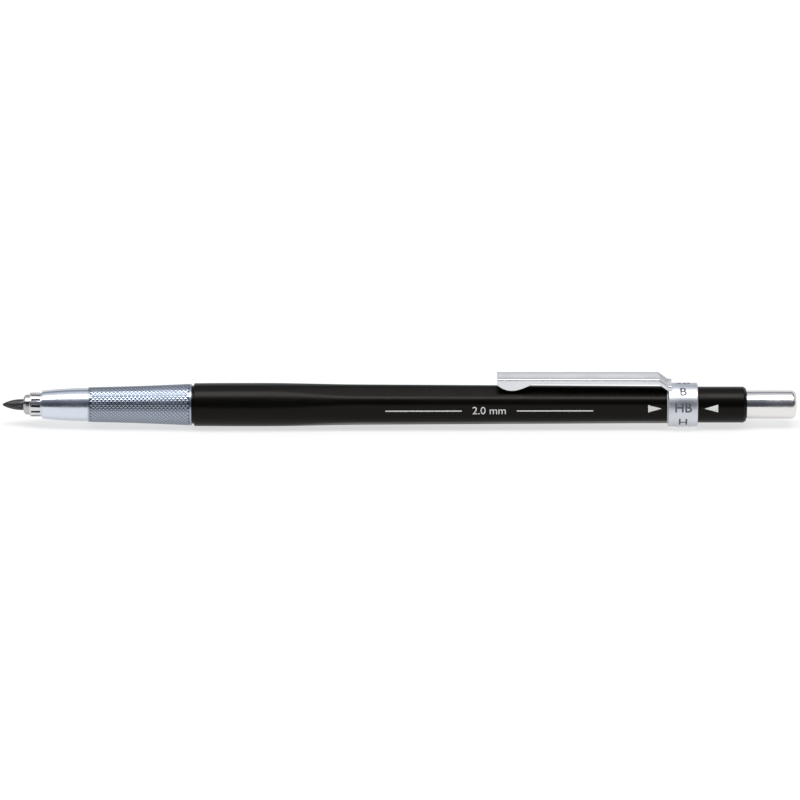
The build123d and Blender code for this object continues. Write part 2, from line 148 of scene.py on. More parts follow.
def edge_wear_group():
    """Where an edge stands proud it is rubbed brighter, a little unevenly."""
    group, given, out = effect_group("edge_wear", {"Width": 0.00012, "Unevenness": 900.0}, ["Edge"])
    place = group.nodes.new("ShaderNodeTexCoord")
    rounded = group.nodes.new("ShaderNodeBevel")
    rounded.samples = 4
    true = group.nodes.new("ShaderNodeNewGeometry")
    product = group.nodes.new("ShaderNodeVectorMath")
    product.operation = "DOT_PRODUCT"
    noise = group.nodes.new("ShaderNodeTexNoise")
    group.links.new(given.outputs["Width"], rounded.inputs["Radius"])
    group.links.new(given.outputs["Unevenness"], noise.inputs["Scale"])
    group.links.new(place.outputs["Object"], noise.inputs["Vector"])
    group.links.new(rounded.outputs["Normal"], product.inputs[0])
    group.links.new(true.outputs["Normal"], product.inputs[1])
    turned_away = spread(group, product.outputs["Value"], 0.99, 0.80, 0.0, 1.0)
    patchy = spread(group, noise.outputs["Fac"], 0.35, 0.6, 0.3, 1.0)
    group.links.new(maths(group, "MULTIPLY", turned_away, patchy), out.inputs["Edge"])
    return group


lathe_marks = lathe_marks_group()
handling = handling_group()
edge_wear = edge_wear_group()


def use_group(tree, group, **values):
    """A group placed in a material with its own values."""
    node = tree.nodes.new("ShaderNodeGroup")
    node.node_tree = group
    for label, value in values.items():
        node.inputs[label.replace("_", " ")].default_value = value
    return node


def mix_colours(tree, share, first, second):
    """One colour turning into another by a share."""
    node = tree.nodes.new("ShaderNodeMix")
    node.data_type = "RGBA"
    tree.links.new(share, node.inputs["Factor"])
    node.inputs["A"].default_value = (*first, 1)
    node.inputs["B"].default_value = (*second, 1)
    return node.outputs["Result"]


def new_material(name):
    """A material, its node tree and its Principled shader."""
    material = bpy.data.materials.new(name)
    material.use_nodes = True
    tree = material.node_tree
    return material, tree, tree.nodes["Principled BSDF"]


def add_bump(tree, shader, height, strength, distance):
    """A shader's bump, from a socket of heights."""
    bump = tree.nodes.new("ShaderNodeBump")
    bump.inputs["Strength"].default_value = strength
    bump.inputs["Distance"].default_value = distance
    tree.links.new(height, bump.inputs["Height"])
    tree.links.new(bump.outputs["Normal"], shader.inputs["Normal"])


def metal(name, colour, worn, roughness, rings=9000.0, ring_height=0.15, haze=0.10):
    """A metal finish: tool rings, haze that dulls it in patches, hairlines and brighter edges."""
    material, tree, shader = new_material(name)
    shader.inputs["Metallic"].default_value = 1.0
    marks = use_group(tree, lathe_marks, Rings_per_metre=rings)
    used = use_group(tree, handling)
    edges = use_group(tree, edge_wear)
    tree.links.new(mix_colours(tree, edges.outputs["Edge"], colour, worn), shader.inputs["Base Color"])
    dulled = maths(tree, "MULTIPLY", used.outputs["Haze"], haze)
    scored = maths(tree, "MULTIPLY", used.outputs["Hairlines"], 0.07)
    ringed = maths(tree, "ADD", maths(tree, "MULTIPLY", marks.outputs["Height"], 0.08), roughness - 0.04)
    rough = maths(tree, "ADD", maths(tree, "ADD", dulled, scored), ringed)
    tree.links.new(rough, shader.inputs["Roughness"])
    add_bump(tree, shader, marks.outputs["Height"], ring_height, 0.002 * mm)
    return material


def finish_node(node, material):
    """A CAD node that stays gets a finished material in each of its slots."""
    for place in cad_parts[node].material_slots:
        place.material = material


inner_brass = metal("inner_brass", (0.76, 0.55, 0.27), (0.92, 0.75, 0.45), 0.24)
for node in ("lead_tube", "collet_body", "spring_collar"):
    finish_node(node, inner_brass)

# ---- Return spring.
# Hard-drawn steel wire, coiled and ground flat at both ends. It sits between the thread bush and the
# collar. Pressing the button shortens the real spring; here it is drawn at its resting length.
spring_low, spring_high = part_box("return_spring")
spring_turns = 11
wire_radius = 0.18 * mm
coil_radius = (spring_high.z - spring_low.z) / 2 - wire_radius
coil_length = spring_high.x - spring_low.x - 2 * wire_radius
press_travel = 3.5 * mm

bpy.ops.object.select_all(action="DESELECT")
bpy.ops.mesh.primitive_circle_add(vertices=10, radius=wire_radius, location=(0, 0, coil_radius))
bpy.ops.object.transform_apply(location=True, rotation=False, scale=False)
spring = bpy.context.object
spring.name = spring.data.name = "coil_spring"
bpy.ops.object.mode_set(mode="EDIT")
bpy.ops.transform.rotate(value=pi / 2, orient_axis="X", center_override=(0, 0, coil_radius))
bpy.ops.object.mode_set(mode="OBJECT")
winding = spring.modifiers.new("winding", "SCREW")
winding.axis = "X"
winding.screw_offset = coil_length / spring_turns
winding.iterations = spring_turns
winding.steps = winding.render_steps = 28
bpy.ops.object.modifier_apply(modifier="winding")
bpy.ops.transform.translate(value=(spring_low.x + wire_radius, 0, axis_z))
bpy.ops.object.transform_apply(location=True, rotation=True, scale=True)
bpy.ops.object.mode_set(mode="EDIT")
bpy.ops.mesh.select_all(action="SELECT")
bpy.ops.mesh.fill_holes(sides=0)
bpy.ops.mesh.normals_make_consistent(inside=False)
bpy.ops.object.mode_set(mode="OBJECT")
bpy.ops.object.shade_smooth_by_angle(angle=radians(50))
spring.data.materials.append(metal("spring_steel", (0.55, 0.55, 0.56), (0.8, 0.8, 0.8), 0.28))
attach(spring, "barrel")
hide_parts("return_spring")
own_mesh(spring)

# ---- Collet jaws.
# Three spring fingers of nickelled steel, turned as one piece and slit in three. The heads stand out of
# the nose bush, and the cone behind each head is what closes it on the lead.
jaw_low, jaw_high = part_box("jaw_1")
bush_low, bush_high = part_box("nose_bush")
head_radius = jaw_high.z - axis_z
head_step = 0.38 * mm
stem_radius = head_radius - head_step
jaw_bore = 1.02 * mm
jaw_relief = 1.12 * mm
bite_length, relief_run = 5.0 * mm, 0.3 * mm
jaw_bevel = 0.42 * mm
half_slit = 0.18 * mm
jaw_cone = radians(9.5)
cone_run = head_step / tan(jaw_cone)
nearly = 1e-6


def choose(piece):
    """Only this piece is selected and active."""
    bpy.ops.object.select_all(action="DESELECT")
    piece.select_set(True)
    bpy.context.view_layer.objects.active = piece


def select_where(piece, inside, kind="vertices"):
    """In edit mode, only the vertices, edges or faces whose middle passes a test are selected."""
    bpy.ops.mesh.select_mode(type={"vertices": "VERT", "edges": "EDGE", "polygons": "FACE"}[kind])
    bpy.ops.mesh.select_all(action="DESELECT")
    bpy.ops.object.mode_set(mode="OBJECT")
    points = piece.data.vertices
    for element in getattr(piece.data, kind):
        if kind == "vertices":
            middle = element.co
        else:
            middle = sum((points[i].co for i in element.vertices), points[0].co * 0) / len(element.vertices)
        element.select = inside(middle)
    bpy.ops.object.mode_set(mode="EDIT")


def extrude_along(outline):
    """The selected loop, at the outline's first place, is extruded to each next (x, radius) in turn."""
    for (x, radius), (next_x, next_radius) in zip(outline, outline[1:]):
        bpy.ops.mesh.extrude_edges_move(TRANSFORM_OT_translate={"value": (next_x - x, 0, 0)})
        share = next_radius / radius
        bpy.ops.transform.resize(value=(1, share, share), center_override=(next_x, 0, axis_z))


def face_outward(piece):
    """The normals of a closed piece are made consistent, and flipped if it turns out inside out."""
    bpy.ops.object.mode_set(mode="EDIT")
    bpy.ops.mesh.select_all(action="SELECT")
    bpy.ops.mesh.normals_make_consistent(inside=False)
    bpy.ops.object.mode_set(mode="OBJECT")
    piece.data.calc_loop_triangles()
    points = piece.data.vertices
    corners = [[points[i].co for i in triangle.vertices] for triangle in piece.data.loop_triangles]
    if sum(a.dot(b.cross(c)) for a, b, c in corners) < 0:
        bpy.ops.object.mode_set(mode="EDIT")
        bpy.ops.mesh.flip_normals()
        bpy.ops.object.mode_set(mode="OBJECT")


def turned(name, outline, sides=96):
    """A piece turned about the holder's axis, from (x, radius) places; open ends are closed flat."""
    bpy.ops.object.select_all(action="DESELECT")
    x, radius = outline[0]
    bpy.ops.mesh.primitive_circle_add(
        vertices=sides, radius=radius, location=(x, 0, axis_z), rotation=(0, pi / 2, 0)
    )
    bpy.ops.object.transform_apply(location=True, rotation=True, scale=True)
    piece = bpy.context.object
    piece.name = piece.data.name = name
    bpy.ops.object.mode_set(mode="EDIT")
    extrude_along(outline)
    bpy.ops.mesh.select_all(action="SELECT")
    bpy.ops.mesh.remove_doubles(threshold=nearly)
    bpy.ops.mesh.fill_holes(sides=0)
    face_outward(piece)
    return piece


def soften_edges(piece, width, segments=3, angle=28):
    """A small bevel on every edge sharper than an angle, and smooth shading over the rest."""
    choose(piece)
    bevel = piece.modifiers.new("soft_edges", "BEVEL")
    bevel.width = width
    bevel.segments = segments
    bevel.limit_method = "ANGLE"
    bevel.angle_limit = radians(angle)
    bevel.miter_outer = "MITER_ARC"
    bpy.ops.object.modifier_apply(modifier="soft_edges")
    bpy.ops.object.shade_smooth_by_angle(angle=radians(angle))


jaw = turned(
    "jaw_1_finger",
    [
        (jaw_low.x, jaw_bore),
        (jaw_low.x, head_radius - jaw_bevel),
        (jaw_low.x + jaw_bevel, head_radius),
        (bush_low.x, head_radius),
        (bush_low.x + cone_run, stem_radius),
        (jaw_high.x, stem_radius),
        (jaw_high.x, jaw_relief),
        (jaw_low.x + bite_length + relief_run, jaw_relief),
        (jaw_low.x + bite_length, jaw_bore),
        (jaw_low.x, jaw_bore),
    ],
)
bpy.ops.object.mode_set(mode="EDIT")
for side in (-1, 1):
    bpy.ops.mesh.select_all(action="SELECT")
    toward = (0, side * 0.5, sqrt(0.75))
    bpy.ops.mesh.bisect(
        plane_co=(0, toward[1] * half_slit, axis_z + toward[2] * half_slit),
        plane_no=toward,
        use_fill=True,
        clear_inner=True,
        threshold=nearly,
    )
face_outward(jaw)
soften_edges(jaw, 0.05 * mm)
jaw.data.materials.append(metal("jaws", (0.50, 0.49, 0.48), (0.75, 0.74, 0.72), 0.24, rings=14000.0))
jaws = [jaw]
for number in (2, 3):
    choose(jaw)
    bpy.ops.object.duplicate()
    copy = bpy.context.selected_objects[0]
    bpy.context.view_layer.objects.active = copy
    copy.name = copy.data.name = f"jaw_{number}_finger"
    low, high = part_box(f"jaw_{number}")
    turn = radians(120) if (low.y + high.y) < 0 else radians(-120)
    bpy.ops.object.mode_set(mode="EDIT")
    bpy.ops.mesh.select_all(action="SELECT")
    bpy.ops.transform.rotate(value=-turn, orient_axis="X", center_override=(0, 0, axis_z))
    bpy.ops.object.mode_set(mode="OBJECT")
    jaws.append(copy)
for number, piece in enumerate(jaws, 1):
    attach(piece, f"jaw_{number}")
    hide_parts(f"jaw_{number}")

# ---- Lead.
# A 2 mm stick of fired graphite and clay, held in the jaws and sharpened to a slightly bellied point
# whose very tip is worn flat.
lead_low, lead_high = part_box("lead")
lead_radius = (lead_high.y - lead_low.y) / 2
point_length = 3.4 * mm
tip_radius = 0.225 * mm
tip_rise = 0.11 * mm
point_steps = 14

narrowing = lead_radius - tip_radius
point_run = point_length - tip_rise
belly = (point_run ** 2 + narrowing ** 2) / (2 * narrowing)
lead_outline = [(lead_low.x, tip_radius * 0.3), (lead_low.x + tip_rise * 0.4, tip_radius * 0.75)]
for step in range(point_steps + 1):
    back = point_run * (1 - step / point_steps)
    lead_outline.append(
        (lead_low.x + point_length - back, lead_radius - belly + sqrt(belly ** 2 - back ** 2))
    )
lead_outline += [(lead_high.x - 0.1 * mm, lead_radius), (lead_high.x, lead_radius - 0.1 * mm)]
lead = turned("graphite_lead", lead_outline, sides=64)
bpy.ops.object.shade_smooth_by_angle(angle=radians(40))

graphite, tree, shader = new_material("lead")
shader.inputs["Metallic"].default_value = 0.55
place = tree.nodes.new("ShaderNodeTexCoord")
stretch = tree.nodes.new("ShaderNodeMapping")
stretch.inputs["Scale"].default_value = (0.25, 1, 1)
streaks = tree.nodes.new("ShaderNodeTexNoise")
streaks.inputs["Scale"].default_value = 5200.0
tree.links.new(place.outputs["Object"], stretch.inputs["Vector"])
tree.links.new(stretch.outputs["Vector"], streaks.inputs["Vector"])
rubbed = spread(tree, streaks.outputs["Fac"], 0.35, 0.7, 0.0, 1.0)
grey = mix_colours(tree, rubbed, (0.022, 0.021, 0.022), (0.085, 0.084, 0.086))
tree.links.new(grey, shader.inputs["Base Color"])
tree.links.new(spread(tree, streaks.outputs["Fac"], 0.3, 0.7, 0.52, 0.30), shader.inputs["Roughness"])
add_bump(tree, shader, object_noise(tree, 14000.0, 4.0), 0.35, 0.01 * mm)
lead.data.materials.append(graphite)
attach(lead, "lead")
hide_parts("lead")

# ---- Nose bush.
# A small turned steel bush pressed into the front of the grip. Its bore flares into the seat that
# closes the jaws, and twelve short flutes are cut round its shown stretch.
grip_low, grip_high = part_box("grip_sleeve")
bush_radius = (bush_high.y - bush_low.y) / 2
open_jaw_room = 0.288 * mm
seat_gap = 0.02 * mm
bush_shoulder = 0.10 * mm
bush_bore = stem_radius + open_jaw_room
bush_seat = head_radius + seat_gap
bush_spigot = bush_radius - bush_shoulder
bush_bevel = 0.12 * mm
seat_run = (bush_seat - bush_bore) / tan(jaw_cone)
flutes = 12
steps_per_flute = 8
flute_depth = 0.22 * mm
flute_margin = 0.32 * mm

bush = turned(
    "fluted_nose_bush",
    [
        (bush_low.x, bush_seat),
        (bush_low.x, bush_radius - bush_bevel),
        (bush_low.x + bush_bevel, bush_radius),
        (bush_low.x + flute_margin, bush_radius),
        (grip_low.x - flute_margin, bush_radius),
        (grip_low.x, bush_radius),
        (grip_low.x, bush_spigot),
        (bush_high.x, bush_spigot),
        (bush_high.x, bush_bore),
        (bush_low.x + seat_run, bush_bore),
        (bush_low.x, bush_seat),
    ],
    sides=flutes * steps_per_flute,
)


def from_axis(place):
    """A place's distance from the holder's axis."""
    return sqrt(place.y ** 2 + (place.z - axis_z) ** 2)


def share_round(place):
    """How far round the axis a place is, as a share of one turn."""
    return (atan2(place.z - axis_z, place.y) % (2 * pi)) / (2 * pi)


def paint_shade_and_grime_in_hollows(piece, material, height, colour):
    """Painted shade, with some grime, in the hollows of a piece: where height(place) is 0 the metal has this
    dark colour, at 1 its own.
    """
    proud = piece.data.attributes.new("proud", "FLOAT", "POINT")
    for vertex in piece.data.vertices:
        proud.data[vertex.index].value = height(vertex.co)
    tree = material.node_tree
    marked = tree.nodes.new("ShaderNodeAttribute")
    marked.attribute_name = "proud"
    # Painted shade, with some grime: the base colour is pulled towards a dark colour where the piece lies
    # low.
    shade_and_grime = tree.nodes.new("ShaderNodeMix")
    shade_and_grime.data_type = "RGBA"
    shader = tree.nodes["Principled BSDF"]
    tree.links.new(spread(tree, marked.outputs["Fac"], 0.0, 0.45, 1.0, 0.0), shade_and_grime.inputs["Factor"])
    tree.links.new(shader.inputs["Base Color"].links[0].from_socket, shade_and_grime.inputs["A"])
    shade_and_grime.inputs["B"].default_value = (*colour, 1)
    tree.links.new(shade_and_grime.outputs["Result"], shader.inputs["Base Color"])


def flute_floor(place):
    """0 on the floor of a flute, 1 on the bush's outside and everywhere else."""
    radius = from_axis(place)
    shown = bush_low.x + 0.5 * flute_margin < place.x < grip_low.x - 0.5 * flute_margin
    return (radius - bush_radius) / flute_depth + 1 if shown and radius > bush_bore * 1.05 else 1


def in_flute(middle):
    """Is this face on the shown round stretch, on one of its flutes?"""
    along = bush_low.x + flute_margin < middle.x < grip_low.x - flute_margin
    slice_number = int(share_round(middle) * flutes * steps_per_flute)
    return along and from_axis(middle) > bush_radius * 0.98 and slice_number % steps_per_flute in (3, 4, 5)


bpy.ops.object.mode_set(mode="EDIT")
select_where(bush, in_flute, "polygons")
bpy.ops.mesh.extrude_region_shrink_fatten(TRANSFORM_OT_shrink_fatten={"value": -flute_depth})
bpy.ops.object.mode_set(mode="OBJECT")
soften_edges(bush, 0.03 * mm, segments=2, angle=25)
nose_steel = metal("nose_steel", (0.66, 0.66, 0.68), (0.90, 0.90, 0.90), 0.20, rings=15000.0)
# The floors of the flutes get painted shade, with some grime.
paint_shade_and_grime_in_hollows(bush, nose_steel, flute_floor, (0.05, 0.05, 0.055))
bush.data.materials.append(nose_steel)
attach(bush, "barrel")
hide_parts("nose_bush")

# ---- Grip sleeve.
# Turned and plated metal: a polished cone in front, then a stretch rolled with a diamond knurl
# between two plain rims. It is screwed on the thread bush.
knurl_length = 18.95 * mm
knurl_start = grip_high.x - knurl_length
cone_front, cone_middle, cone_back = 2.56 * mm, 2.92 * mm, 3.04 * mm
cone_overlap = 0.5 * mm
knurl_front, knurl_middle, knurl_back = 3.185 * mm, 3.43 * mm, 3.83 * mm
grip_bore = 2.0 * mm
thread_bore = 2.9 * mm
thread_start = grip_high.x - 7.1 * mm
front_rim, back_rim = 0.30 * mm, 0.35 * mm
rim_edge = 0.06 * mm
diamonds_round = 30
diamond_rows = 50
diamond_height = 0.045 * mm
diamond_slope = 0.215 * mm


def bow(t, front, middle, back):
    """The radius at a share t of one gentle bow through three radii."""
    return front * (1 - t) * (1 - 2 * t) + middle * 4 * t * (1 - t) + back * t * (2 * t - 1)


def bowed(start, end, front, middle, back, steps):
    """Places from start to end, with their radii on such a bow."""
    shares = [step / steps for step in range(steps + 1)]
    return [(start + (end - start) * t, bow(t, front, middle, back)) for t in shares]


cone = turned(
    "polished_grip_cone",
    [(grip_low.x, bush_spigot)]
    + bowed(grip_low.x, knurl_start, cone_front, cone_middle, cone_back, 16)
    + [
        (knurl_start + cone_overlap, cone_back),
        (knurl_start + cone_overlap, grip_bore),
        (bush_high.x, grip_bore),
        (bush_high.x, bush_spigot),
        (grip_low.x, bush_spigot),
    ],
    sides=128,
)
soften_edges(cone, 0.08 * mm)


def knurl_radius(x):
    """The radius over the knurl's diamonds, at a place along it."""
    return bow((x - knurl_start) / knurl_length, knurl_front, knurl_middle, knurl_back)


pattern_start, pattern_end = knurl_start + front_rim, grip_high.x - back_rim
row_length = (pattern_end - pattern_start) / diamond_rows
rows = [pattern_start + row_length * row for row in range(diamond_rows + 1)]
knurl = turned(
    "knurled_grip",
    [(knurl_start, grip_bore), (knurl_start, knurl_radius(knurl_start) - rim_edge)]
    + [(knurl_start + rim_edge, knurl_radius(knurl_start)), (pattern_start, knurl_radius(pattern_start))]
    + [(x, knurl_radius(x) - diamond_height) for x in rows]
    + [(pattern_end, knurl_radius(pattern_end)), (grip_high.x - rim_edge, knurl_radius(grip_high.x))]
    + [(grip_high.x, knurl_radius(grip_high.x) - rim_edge), (grip_high.x, thread_bore)]
    + [(thread_start, thread_bore), (thread_start, grip_bore), (knurl_start, grip_bore)],
    sides=2 * diamonds_round,
)


def row_and_column(place):
    """Where a place is in the grid that the diamonds are drawn on."""
    return (place.x - pattern_start) / row_length, share_round(place) * 2 * diamonds_round


def on_pattern(place):
    """Is this on the rolled stretch, at the bottom of its grooves?"""
    row, column = row_and_column(place)
    floor_radius = knurl_radius(place.x) - diamond_height
    return -0.02 < row < diamond_rows + 0.02 and abs(from_axis(place) - floor_radius) < 0.03 * mm


def diamond_middle(place):
    """Is this where the middle of a whole diamond goes?"""
    row, column = row_and_column(place)
    return on_pattern(place) and 0.5 < row < diamond_rows - 0.5 and (round(row) + round(column)) % 2 == 0


def diamond_corner(place):
    """Is this where the corners of neighbouring diamonds meet?"""
    row, column = row_and_column(place)
    return on_pattern(place) and (round(row) + round(column)) % 2 == 1


bpy.ops.object.mode_set(mode="EDIT")
select_where(knurl, diamond_corner)
bpy.ops.mesh.vert_connect()
select_where(knurl, diamond_middle)
bpy.ops.mesh.dissolve_verts()
select_where(knurl, diamond_middle, "polygons")
bpy.ops.mesh.inset(thickness=diamond_slope, depth=diamond_height, use_individual=True)
bpy.ops.object.mode_set(mode="OBJECT")
bpy.ops.object.shade_smooth_by_angle(angle=radians(10))


def above_grooves(place):
    """0 in the knurl's grooves, 1 at the tops of its diamonds and on the plain rims."""
    return (from_axis(place) - knurl_radius(place.x)) / diamond_height + 1


grip_metal = metal("grip_metal", (0.66, 0.70, 0.77), (0.92, 0.94, 0.97), 0.17, rings=12000.0, haze=0.08)
# The knurl has the cone's plating, but its base colour is drawn darker and bluer: painted shade for the shade
# among its diamonds.
knurl_metal_painted_darker = metal("knurl_metal_painted_darker", (0.37, 0.41, 0.48), (0.68, 0.72, 0.78), 0.22, rings=12000.0, haze=0.12)
# The knurl's grooves get painted shade, with some grime.
paint_shade_and_grime_in_hollows(knurl, knurl_metal_painted_darker, above_grooves, (0.13, 0.15, 0.19))
for piece, finish in ((cone, grip_metal), (knurl, knurl_metal_painted_darker)):
    piece.data.materials.append(finish)
    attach(piece, "barrel")
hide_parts("grip_sleeve")

# ---- Thread bush.
# A brass bush glued in the front of the barrel. The grip screws on its thread, the spring stands on its
# rear face, and its bore guides the lead tube. It stays as the frame has it.
finish_node("thread_bush", inner_brass)

# ---- Barrel.
# Black moulded plastic, a little swollen behind the grip. Six flats run in behind the front stretch and
# taper to the rear end, so that the barrel turns from round to a soft hexagon.
barrel_low, barrel_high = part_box("barrel")
barrel_front = barrel_low.x + 0.40 * mm
lip_radius = 3.50 * mm
socket_radius = 3.10 * mm
barrel_radius = 3.93 * mm
barrel_swollen = 3.965 * mm
barrel_edge = 0.25 * mm
spigot_depth, socket_depth = 6.5 * mm, 7.0 * mm
flats_start = barrel_front + 13.0 * mm
flats_full = barrel_front + 31.0 * mm
flat_full, flat_back = 3.56 * mm, 3.265 * mm
corner_rounding = 1.9 * mm
barrel_bore = 2.55 * mm
spigot_bore = 2.80 * mm
barrel_rim = 0.06 * mm
around_barrel = 96

barrel = turned(
    "black_barrel",
    [
        (barrel_low.x, socket_radius),
        (barrel_low.x, lip_radius),
        (barrel_front, lip_radius),
        (barrel_front, barrel_radius - barrel_edge),
    ]
    + [
        (barrel_front + barrel_edge * (1 - cos(turn)), barrel_radius - barrel_edge * (1 - sin(turn)))
        for turn in (pi / 8, pi / 4, 3 * pi / 8)
    ]
    + bowed(barrel_front + barrel_edge, flats_start, barrel_radius, barrel_swollen, barrel_swollen, 10),
    sides=around_barrel,
)


def closing_disc(middle):
    """Is this one of the two flat discs that close the front stretch?"""
    at_an_end = min(abs(middle.x - barrel_low.x), abs(middle.x - flats_start)) < nearly
    return at_an_end and from_axis(middle) < 0.1 * mm


def beside_the_gap(place):
    """Is this on the outside, on either side of the gap where round turns into hexagon?"""
    return flats_start - nearly < place.x < flats_full + nearly and from_axis(place) > 3.0 * mm


bpy.ops.object.mode_set(mode="EDIT")
select_where(barrel, closing_disc, "polygons")
bpy.ops.mesh.delete(type="ONLY_FACE")
bpy.ops.mesh.primitive_circle_add(
    vertices=6, radius=flat_full / cos(radians(30)), location=(flats_full, 0, axis_z), rotation=(0, pi / 2, 0)
)
bpy.ops.transform.rotate(value=radians(30), orient_axis="X", center_override=(flats_full, 0, axis_z))
bpy.ops.mesh.bevel(
    offset=corner_rounding * tan(radians(30)), segments=around_barrel // 6 - 1, affect="VERTICES"
)
extrude_along(
    [
        (flats_full, flat_full),
        (barrel_high.x - barrel_rim, flat_back),
        (barrel_high.x, flat_back - barrel_rim),
    ]
)
bpy.ops.mesh.primitive_circle_add(
    vertices=around_barrel, radius=spigot_bore, location=(barrel_high.x, 0, axis_z), rotation=(0, pi / 2, 0)
)
extrude_along(
    [
        (barrel_high.x, spigot_bore),
        (barrel_high.x - spigot_depth, spigot_bore),
        (barrel_high.x - spigot_depth, barrel_bore),
        (barrel_front + socket_depth, barrel_bore),
        (barrel_front + socket_depth, socket_radius),
        (barrel_low.x, socket_radius),
    ]
)
select_where(barrel, lambda place: abs(place.x - barrel_high.x) < nearly)
bpy.ops.mesh.bridge_edge_loops()
select_where(barrel, beside_the_gap)
bpy.ops.mesh.bridge_edge_loops(number_cuts=14, interpolation="SURFACE", smoothness=1.0)
bpy.ops.mesh.select_all(action="SELECT")
bpy.ops.mesh.remove_doubles(threshold=nearly)
face_outward(barrel)
bpy.ops.object.shade_smooth_by_angle(angle=radians(30))


def moulded_black(name):
    """Polished black plastic: a soft gloss, faint unevenness from the mould, haze and hairlines."""
    material, tree, shader = new_material(name)
    shader.inputs["Specular IOR Level"].default_value = 0.14
    shader.inputs["Specular Tint"].default_value = (1, 0.93, 0.86, 1)
    used = use_group(tree, handling, Patches=120.0, Hairs=300.0)
    edges = use_group(tree, edge_wear, Width=0.08 * mm)
    colour = mix_colours(tree, edges.outputs["Edge"], (0.0018, 0.0015, 0.0012), (0.010, 0.009, 0.008))
    tree.links.new(colour, shader.inputs["Base Color"])
    dulled = maths(tree, "MULTIPLY", used.outputs["Haze"], 0.07)
    scored = maths(tree, "MULTIPLY", used.outputs["Hairlines"], 0.12)
    rough = maths(tree, "ADD", maths(tree, "ADD", dulled, scored), 0.27)
    tree.links.new(rough, shader.inputs["Roughness"])
    add_bump(tree, shader, object_noise(tree, 1500.0), 0.10, 0.01 * mm)
    return material


barrel_black = moulded_black("barrel_black")
barrel.data.materials.append(barrel_black)
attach(barrel, "barrel")
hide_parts("barrel")

# ---- Barrel print.
# White ink pad-printed on the front flat: only the lead's size, between two plain rules, and an
# arrowhead near the rear end that points at the grade ring.
ink_height = 0.012 * mm
print_middle = barrel_front + 54.0 * mm
size_cap = 1.45 * mm
rule_gap, rule_length, rule_width = 5.0 * mm, 14.0 * mm, 0.22 * mm
arrow_gap, arrow_length, arrow_width = 1.2 * mm, 2.5 * mm, 1.45 * mm
arrow_above = 7.0
font_cap_share = 0.70
print_strip = 0.15 * mm


def cut_in_strips(piece, spacing, direction=(0, 0, 1)):
    """Straight cuts across a flat mark, so that it can follow a curved surface."""
    bpy.ops.object.mode_set(mode="EDIT")
    places = [sum(a * b for a, b in zip(vertex.co, direction)) for vertex in piece.data.vertices]
    lowest, highest = min(places), max(places)
    cuts = int((highest - lowest) / spacing)
    for number in range(1, cuts + 1):
        place = lowest + (highest - lowest) * number / (cuts + 1)
        bpy.ops.mesh.select_all(action="SELECT")
        bpy.ops.mesh.bisect(
            plane_co=[place * part for part in direction], plane_no=direction, threshold=nearly / 10
        )
    bpy.ops.object.mode_set(mode="OBJECT")


def lay_on(piece, surface, lift, thickness):
    """A flat mark in front of a surface is pressed back on to it, and given its thickness inwards."""
    choose(piece)
    press = piece.modifiers.new("press", "SHRINKWRAP")
    press.target = surface
    press.wrap_method = "PROJECT"
    press.use_project_y = True
    press.use_project_x = press.use_project_z = False
    press.use_positive_direction = True
    press.offset = lift
    bpy.ops.object.modifier_apply(modifier="press")
    wall = piece.modifiers.new("wall", "SOLIDIFY")
    wall.thickness = thickness
    wall.offset = -1
    bpy.ops.object.modifier_apply(modifier="wall")
    face_outward(piece)


def flat_text(name, words, cap_height, x, z, front, heavier=0.0):
    """Words as a flat mesh that faces the front, centred on a place; front is its distance forward."""
    bpy.ops.object.select_all(action="DESELECT")
    bpy.ops.object.text_add(location=(0, 0, 0))
    text = bpy.context.object
    text.data.body = words
    text.data.size = cap_height / font_cap_share
    text.data.align_x, text.data.align_y = "CENTER", "CENTER"
    text.data.resolution_u = 4
    text.data.offset = heavier
    bpy.ops.object.convert(target="MESH")
    text = bpy.context.object
    text.name = text.data.name = name
    bpy.ops.object.mode_set(mode="EDIT")
    bpy.ops.mesh.select_all(action="SELECT")
    bpy.ops.mesh.remove_doubles(threshold=nearly)
    bpy.ops.mesh.dissolve_limited(angle_limit=radians(0.5))
    bpy.ops.object.mode_set(mode="OBJECT")
    text.rotation_euler = (pi / 2, 0, 0)
    text.location = (x, -front, z)
    bpy.ops.object.transform_apply(location=True, rotation=True, scale=True)
    return text


def arrowhead(name, x, z, front, toward):
    """A small filled triangle that faces the front, with its point at x and its body behind it."""
    bpy.ops.object.select_all(action="DESELECT")
    bpy.ops.mesh.primitive_circle_add(
        vertices=3, radius=arrow_length / 1.5, fill_type="NGON", rotation=(pi / 2, 0, 0)
    )
    mark = bpy.context.object
    mark.name = mark.data.name = name
    bpy.ops.object.transform_apply(location=True, rotation=True, scale=True)
    bpy.ops.object.mode_set(mode="EDIT")
    bpy.ops.transform.rotate(value=-pi / 2 * toward, orient_axis="Y", center_override=(0, 0, 0))
    bpy.ops.object.mode_set(mode="OBJECT")
    tip = max(vertex.co.x * toward for vertex in mark.data.vertices)
    width = max(vertex.co.z for vertex in mark.data.vertices) * 2
    bpy.ops.object.mode_set(mode="EDIT")
    bpy.ops.transform.resize(value=(1, 1, arrow_width / width), center_override=(0, 0, 0))
    bpy.ops.transform.translate(value=(x - tip * toward, -front, z))
    bpy.ops.mesh.bevel(offset=0.1 * mm, segments=2, affect="VERTICES")
    bpy.ops.object.mode_set(mode="OBJECT")
    return mark


def printed_ink(name, colour, patchy):
    """Flat ink, mottled with a second colour in a fine grain."""
    material, tree, shader = new_material(name)
    shader.inputs["Specular IOR Level"].default_value = 0.2
    grain = object_noise(tree, 6000.0)
    share = spread(tree, grain, 0.35, 0.65, 0.0, 1.0)
    tree.links.new(mix_colours(tree, share, patchy, colour), shader.inputs["Base Color"])
    tree.links.new(spread(tree, grain, 0.3, 0.7, 0.6, 0.45), shader.inputs["Roughness"])
    return material


